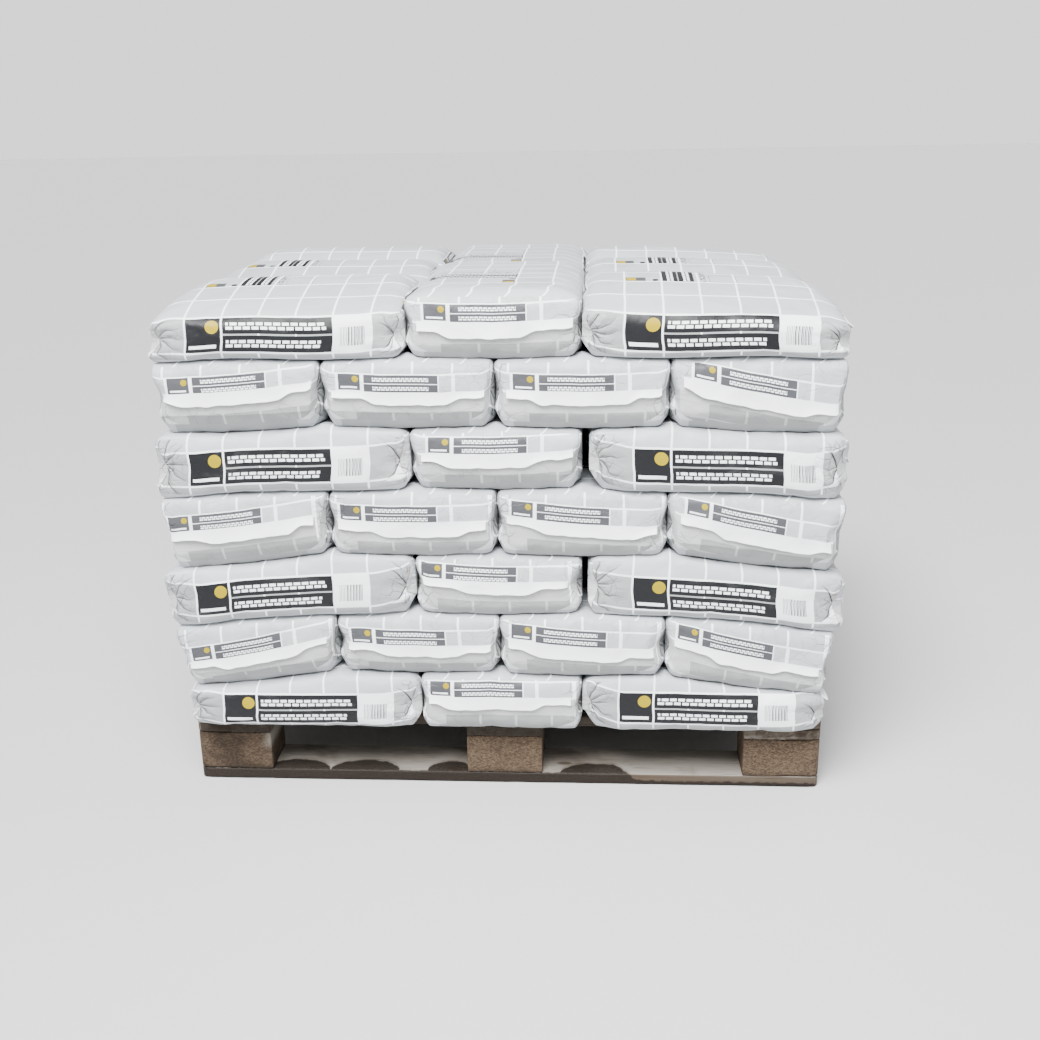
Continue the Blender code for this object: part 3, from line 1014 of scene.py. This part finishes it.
    def within_slot(self, x, y):
        """Presses the sack flat where its neighbours are."""
        x_low, x_high, y_low, y_high = (
            sign * (math.inf if side in self.open_sides else sign * edge - GAP)
            for side, sign, edge in zip(OUTWARD, (-1, 1, -1, 1), self.slot)
        )
        return np.clip(x, x_low, x_high), np.clip(y, y_low, y_high)

    def fold_places(self, faces, sides, at):
        """Where each face corner lies on the flat sack, in metres, with its region's number added."""
        l, w, t = at[faces.ravel()].T
        side = np.repeat(sides, 4)
        along = (END_REGION + SACK_WIDTH - w, HIGH_END_REGION + w, l, SACK_LENGTH - l, UNDER_REGION + l, l)
        return np.choose(side, along), np.choose(side, (t, t, t, t, w, SACK_HEIGHT + w))

    def print_places(self, points, faces, sides, cells, fold_u, fold_v):
        """As fold_places, but measured along the filled sack's own paper, and moved as its print is."""
        grid = on_grid(cells, points)
        i, j, k = cells[faces.ravel()].T
        right, down = self.misprint
        places = []
        for sheet, sign, region, shift in zip(
            (grid[0], grid[-1]), (-1, 1), (END_REGION, HIGH_END_REGION), SIDEWAYS_END_SHIFTS
        ):
            across = SACK_WIDTH / 2 + sign * centred(sheet, 0)[j, k] / END_PRINT_SCALE
            rise = run(sheet, 1)[j, k] / END_PRINT_SCALE
            aside, lower = (right, down) if self.lies == "y" else (shift, 0.0)
            slope = self.tilt * (across - SACK_WIDTH / 2)
            places.append((region + across - aside, rise + slope + lower + END_PRINT_DROP))
        for sheet, sign in ((grid[:, 0], 1), (grid[:, -1], -1)):
            along = SACK_LENGTH / 2 + sign * centred(sheet, 0)[i, k] - right
            places.append((along, run(sheet, 1)[i, k] + down))
        places.append((fold_u, fold_v))
        top = grid[:, :, -1]
        along = SACK_LENGTH / 2 + centred(top, 0)[i, j] - right
        places.append((along, run(grid[:, 0], 1)[i, -1] + run(top, 1)[i, j] + down))
        return [np.choose(np.repeat(sides, 4), values) for values in zip(*places)]

    def flap(self, side, points, cells):
        """The closing flap on an end face: a thin strip, glued at its top, free at its uneven lower edge."""
        place = on_grid(cells, points)[0 if side == "end_low" else -1]
        if side == "end_low":
            place = place[::-1]
        lines = SACK_WIDTH / 2 + centred(place, 0)[:, len(HEIGHT_LINES) // 2]
        climb = run(place, 1)
        across = FLAP_POINTS + self.misprint[0] * 0.4
        outward = np.array(OUTWARD[FACES[self.lies][side]])
        rise = FLAP_TOP + self.random.uniform(-0.002, 0.002)
        depth = self.random.uniform(0.020, 0.026)
        step_left = self.random.uniform(0.12, 0.30)
        step_right = self.random.uniform(0.68, 0.86)
        lower_print = self.misprint[1] if self.lies == "y" else 0.0
        shorter = 1 - smooth(across / SACK_WIDTH, step_left - 0.06, step_left + 0.06)
        shorter += smooth(across / SACK_WIDTH, step_right - 0.05, step_right + 0.05)
        tear = rough([(a * 45, self.variant * 3.3, 0.0) for a in across])
        lower = rise - depth + FLAP_STEP * shorter + FLAP_TEAR * tear
        lift = rough([(a * 14, self.variant * 5.1, 4.0) for a in across])
        verts, prints = [], []
        for share in FLAP_ROWS:
            for a, foot, curl in zip(across, lower, lift):
                drawn = rise + (foot - rise) * share
                level = drawn - self.tilt * (a - SACK_WIDTH / 2) - lower_print - END_PRINT_DROP
                away = 0.0010 + (0.0052 + 0.0036 * curl) * share**2
                verts.append(surface_point(place, lines, climb, a, level * END_PRINT_SCALE) + outward * away)
                prints.append((FLAP_REGION + a, drawn))
        count = len(across)
        start = np.arange(len(verts)).reshape(-1, count)[:-1, :-1].ravel()
        quads = np.stack([start, start + count, start + count + 1, start + 1], axis=1)
        return thickened(np.array(verts), quads, np.array(prints), outward * -FLAP_THICKNESS)

    def build(self, paper):
        bag, faces, sides, cells, at = self.shape()
        points = bag
        fold = np.stack(self.fold_places(faces, sides, at), axis=1)
        drawn = np.stack(self.print_places(points, faces, sides, cells, *fold.T), axis=1)
        for side in ("end_low", "end_high"):
            if self.shows(side):
                more_points, more_faces, more_prints = self.flap(side, bag, cells)
                faces = np.concatenate([faces, more_faces + len(points)])
                points = np.concatenate([points, more_points])
                fold = np.concatenate([fold, more_prints])
                drawn = np.concatenate([drawn, more_prints])
        mesh = grid_mesh(self.name, points, faces, PAPER_CRISP)
        for name, places in (("print", drawn), ("folds", fold)):
            mesh.uv_layers.new(name=name).data.foreach_set("uv", places.ravel())
        mesh.materials.append(paper)
        return link(self.name, mesh)


def run(sheet, axis):
    """How far each point of a grid of points lies along it, from its first row or column."""
    steps = np.linalg.norm(np.diff(sheet, axis=axis), axis=2)
    first = np.zeros_like(steps[:1] if axis == 0 else steps[:, :1])
    return np.concatenate([first, np.cumsum(steps, axis=axis)], axis=axis)


def centred(sheet, axis):
    """As run, but measured from the middle of the sheet."""
    along = run(sheet, axis)
    return along - (along[-1:] if axis == 0 else along[:, -1:]) / 2


def surface_point(place, lines, climb, a, h):
    """The point of an end face at a across and h up its paper, between the grid points round it."""
    i = min(max(int(np.searchsorted(lines, a, side="right")) - 1, 0), len(lines) - 2)
    p = min(max((a - lines[i]) / (lines[i + 1] - lines[i]), 0.0), 1.0)
    column = place[i] * (1 - p) + place[i + 1] * p
    heights = climb[i] * (1 - p) + climb[i + 1] * p
    return np.array([np.interp(h, heights, column[:, axis]) for axis in range(3)])


def thickened(points, quads, prints, inward):
    """A closed thin sheet from an open one: its points, faces, and the print place of each face corner."""
    count = len(points)
    edges = dict.fromkeys(edge for quad in quads.tolist() for edge in zip(quad, quad[1:] + quad[:1]))
    rim = [(a, b) for a, b in edges if (b, a) not in edges]
    walls = [[b, a, a + count, b + count] for a, b in rim]
    faces = np.concatenate([quads, quads[:, ::-1] + count, np.array(walls)])
    both = np.concatenate([prints, prints])
    return np.concatenate([points, points + inward]), faces, both[faces.ravel()]


def layer_slots(kind, half):
    """The room of each sack in a layer, as its lowest and highest x and y, and the axis it lies along."""
    side, third = LOAD_DEPTH / 2, LOAD_DEPTH / 6
    slots = {}
    places = [("outer_left", -half, -FOLD_X), ("inner_left", -FOLD_X, 0.0)]
    places += [("inner_right", 0.0, FOLD_X), ("outer_right", FOLD_X, half)]
    if kind == "brick":
        places = [("middle", -COLUMN_EDGE, COLUMN_EDGE)]
        for row, *depth in (("front", -side, -third), ("mid", -third, third), ("back", third, side)):
            slots[f"{row}_left"] = ((-half, -COLUMN_EDGE, *depth), "x")
            slots[f"{row}_right"] = ((COLUMN_EDGE, half, *depth), "x")
    for row, *depth in (("front", -side, 0.0), ("back", 0.0, side)):
        for place, *span in places:
            slots[f"{row}_{place}"] = ((*span, *depth), "y")
    return slots


def load_sacks():
    """All fifty-six sacks, with the node that each stands for or is part of."""
    sacks = []
    below = None
    height = DECK_TOP
    for number, (kind, half, tall, sag) in enumerate(LAYERS, start=1):
        height += tall
        last = number == len(LAYERS)
        above = bearing(height, sag, PILLOW_WAVE if kind == "row" else -PILLOW_WAVE)
        joints = (None if number == 1 else kind, None if last else LAYERS[number][0])
        given_prints = dict(zip(FRONT_PLACES[kind], FRONT_PRINTS[number]))
        ends = (-half, half, -LOAD_DEPTH / 2, LOAD_DEPTH / 2)
        for place, (slot, lies) in layer_slots(kind, half).items():
            slot = (slot[0] + INSETS.get((number, place), 0.0), *slot[1:])
            open_sides = [side for side, edge, end in zip(OUTWARD, slot, ends) if edge == end]
            foot, roof = below, above
            if number == 1:
                foot = deck_bearing(DECK_DROOPS[lies])
            if last:
                settled, end_sag = TOP_SHAPES[place]
                roof = bearing(height - settled, end_sag)
            node = f"sack_{number}_{place}" if last or place.startswith("front") else f"sacks_{number}_rear"
            name = f"filled_sack_{number}_{place}"
            given = given_prints.get(place, ())
            sack = Sack(name, slot, lies, (foot, roof), open_sides, len(sacks), joints, given)
            sacks.append((sack, node))
        below = above
    return sacks


def worn_timber(node, surface, form, seed):
    """A sawn piece in the place of a node, with worn edges, and rounded corners where the pallet's are."""
    cell, wear = form
    low, high = [np.array(corner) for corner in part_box(node)]
    half = (high - low) / 2
    middle = (low + high) / 2
    edge, zone = FIRST_TIMBER_LINES, EVEN_TIMBER_ZONE
    lines = []
    for length in 2 * half:
        inner = np.linspace(zone, length - zone, max(1, round((length - 2 * zone) / cell)) + 1)
        lines.append(np.concatenate([edge, inner, (length - edge)[::-1]]))
    points, faces, _ = shell(tuple(len(part) - 1 for part in lines))
    unit = np.stack([lines[axis][points[:, axis]] for axis in range(3)], axis=1) / half - 1
    worn = rough(middle + unit * half, 22, (seed, 0, 0))
    rounding = np.full(unit.shape, wear) * (1 + 0.6 * worn[:, None])
    outermost = np.abs(middle + np.sign(unit) * half)[:, :2]
    corner = (outermost > (PALLET_HALF_LENGTH - 0.001, DECK_HALF_WIDTH - 0.001)).all(axis=1)
    rounding[corner, :2] = CORNER_ROUNDING
    place = rounded(unit, half, rounding) + middle
    nicks = rough(place, 65, (0, seed, 0))
    rim = 1 - smooth((half - np.abs(place - middle)).min(axis=1), 0.0, 0.0001)
    shrink = NICK_DEPTH * np.clip(nicks, 0, 1) * rim
    place -= np.sign(place - middle) * shrink[:, None]
    mesh = grid_mesh("worn_" + node, place, faces)
    mesh.materials.append(surface)
    piece = link("worn_" + node, mesh)
    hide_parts(node)
    return piece


def build_pallet():
    boards = [sawn_timber(0), sawn_timber(1)]
    chips = pressed_chips()
    for number, node in enumerate(sorted(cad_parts)):
        if node.startswith("sack"):
            continue
        surface, form, slot = boards[node.startswith("cross")], BOARD_FORM, "sawn_wood"
        if node.startswith("block"):
            surface, form, slot = chips, BLOCK_FORM, "pressed_wood"
        piece = worn_timber(node, surface, form, number)
        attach(piece, "root")


def nail_pattern(steel):
    """Nodes that set a nail head on every point of a grid of blocks, two by two at each block."""
    tree = bpy.data.node_groups.new("nail_pattern", "GeometryNodeTree")
    for name in NAIL_VALUES:
        kind = "NodeSocketInt" if name == "Seed" else "NodeSocketFloat"
        tree.interface.new_socket(name, in_out="INPUT", socket_type=kind)
    tree.interface.new_socket("Geometry", in_out="OUTPUT", socket_type="NodeSocketGeometry")
    given = {output.name: Field(output) for output in tree.nodes.new("NodeGroupInput").outputs}

    def add(kind, inputs, **settings):
        return add_node(tree, kind, inputs, **settings)

    def grid(length, depth, count):
        inputs = {"Size X": given[length], "Size Y": given[depth], "Vertices X": count, "Vertices Y": count}
        return add("GeometryNodeMeshGrid", inputs)

    def chance(low, high):
        inputs = {"Min": low, "Max": high, "Seed": given["Seed"]}
        return add("FunctionNodeRandomValue", inputs, data_type="FLOAT_VECTOR")

    blocks = grid("Block row length", "Block row depth", 3)
    four = grid("Nail spacing along", "Nail spacing across", 2)
    sets = add("GeometryNodeInstanceOnPoints", {"Points": blocks, "Instance": four})
    places = add("GeometryNodeRealizeInstances", {"Geometry": sets})
    moved = add("GeometryNodeSetPosition", {"Geometry": places, "Offset": chance(*NAIL_OFFSETS)})
    disc = {"Vertices": 10, "Radius": given["Head radius"], "Depth": given["Head depth"]}
    disc = add("GeometryNodeMeshCylinder", disc)
    heads = {"Points": moved, "Instance": disc, "Rotation": chance(*NAIL_TURNS)}
    heads = add("GeometryNodeInstanceOnPoints", heads)
    real = add("GeometryNodeRealizeInstances", {"Geometry": heads})
    finished = add("GeometryNodeSetMaterial", {"Geometry": real, "Material": steel})
    feed(tree.nodes.new("NodeGroupOutput"), {"Geometry": finished})
    return tree


def build_nails():
    """The nail heads in the undersides of the bottom boards."""
    piece = link("nail_heads", bpy.data.meshes.new("nail_heads"))
    pattern = piece.modifiers.new("nail_pattern", "NODES")
    pattern.node_group = nail_pattern(nail_steel())
    for item in pattern.node_group.interface.items_tree:
        if item.name in NAIL_VALUES:
            pattern[item.identifier] = NAIL_VALUES[item.name]
    bpy.context.view_layer.update()
    made = piece.evaluated_get(bpy.context.evaluated_depsgraph_get())
    mesh = bpy.data.meshes.new_from_object(made)
    mesh.name = "nail_heads"
    piece.modifiers.clear()
    piece.data = mesh
    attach(piece, "root")


def build_load():
    paper = sack_paper()
    for sack, node in load_sacks():
        piece = sack.build(paper)
        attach(piece, "root")
        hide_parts(node)


def build_stage():
    """A plain pale floor, and soft studio light from above and in front."""
    mesh = bpy.data.meshes.new("floor")
    corners = ((-1, -1), (1, -1), (1, 1), (-1, 1))
    corners = [(FLOOR_REACH * p, FLOOR_REACH * q, -FLOOR_DEPTH) for p, q in corners]
    mesh.from_pydata(corners, [], [(0, 1, 2, 3)])
    mesh.materials.append(Paint("floor_paint", FLOOR_GREY).finish(0.8))
    link("floor", mesh)
    for name, (kind, place, aim, power, width) in LAMPS.items():
        light = bpy.data.lights.new(name, kind)
        light.energy = power
        setattr(light, "angle" if kind == "SUN" else "size", width)
        turn = (Vector(aim) - Vector(place)).to_track_quat("-Z", "Y").to_matrix().to_4x4()
        link(name, light).matrix_world = Matrix.Translation(place) @ turn
    world = bpy.data.worlds.new("studio")
    bpy.context.scene.world = world
    world.use_nodes = True
    up = add_node(world.node_tree, "ShaderNodeTexCoord", {}, "Generated").split()[2]
    glow = up.ramp(*HORIZON_ZONE, HORIZON_GLOW, SKY_GLOW)
    feed(world.node_tree.nodes["Background"], {"Color": SKY_TINT, "Strength": glow})


def build_camera():
    """The camera of the photograph, from its place, turn, tilt and roll."""
    turn, tilt, roll = (math.radians(value) for value in (CAMERA_TURN, CAMERA_TILT, CAMERA_ROLL))
    level = Matrix.Rotation(-turn, 4, "Z") @ Matrix.Rotation(math.pi / 2 - tilt, 4, "X")
    lens = bpy.data.cameras.new("photo_camera")
    lens.lens = CAMERA_LENS
    lens.sensor_width = 36.0
    camera = link("photo_camera", lens)
    camera.matrix_world = Matrix.Translation(CAMERA_PLACE) @ level @ Matrix.Rotation(roll, 4, "Z")
    bpy.context.scene.camera = camera


FILLED = [filled(variant) for variant in range(FILL_VARIANTS)]
build_camera()
build_stage()
build_pallet()
build_nails()
build_load()
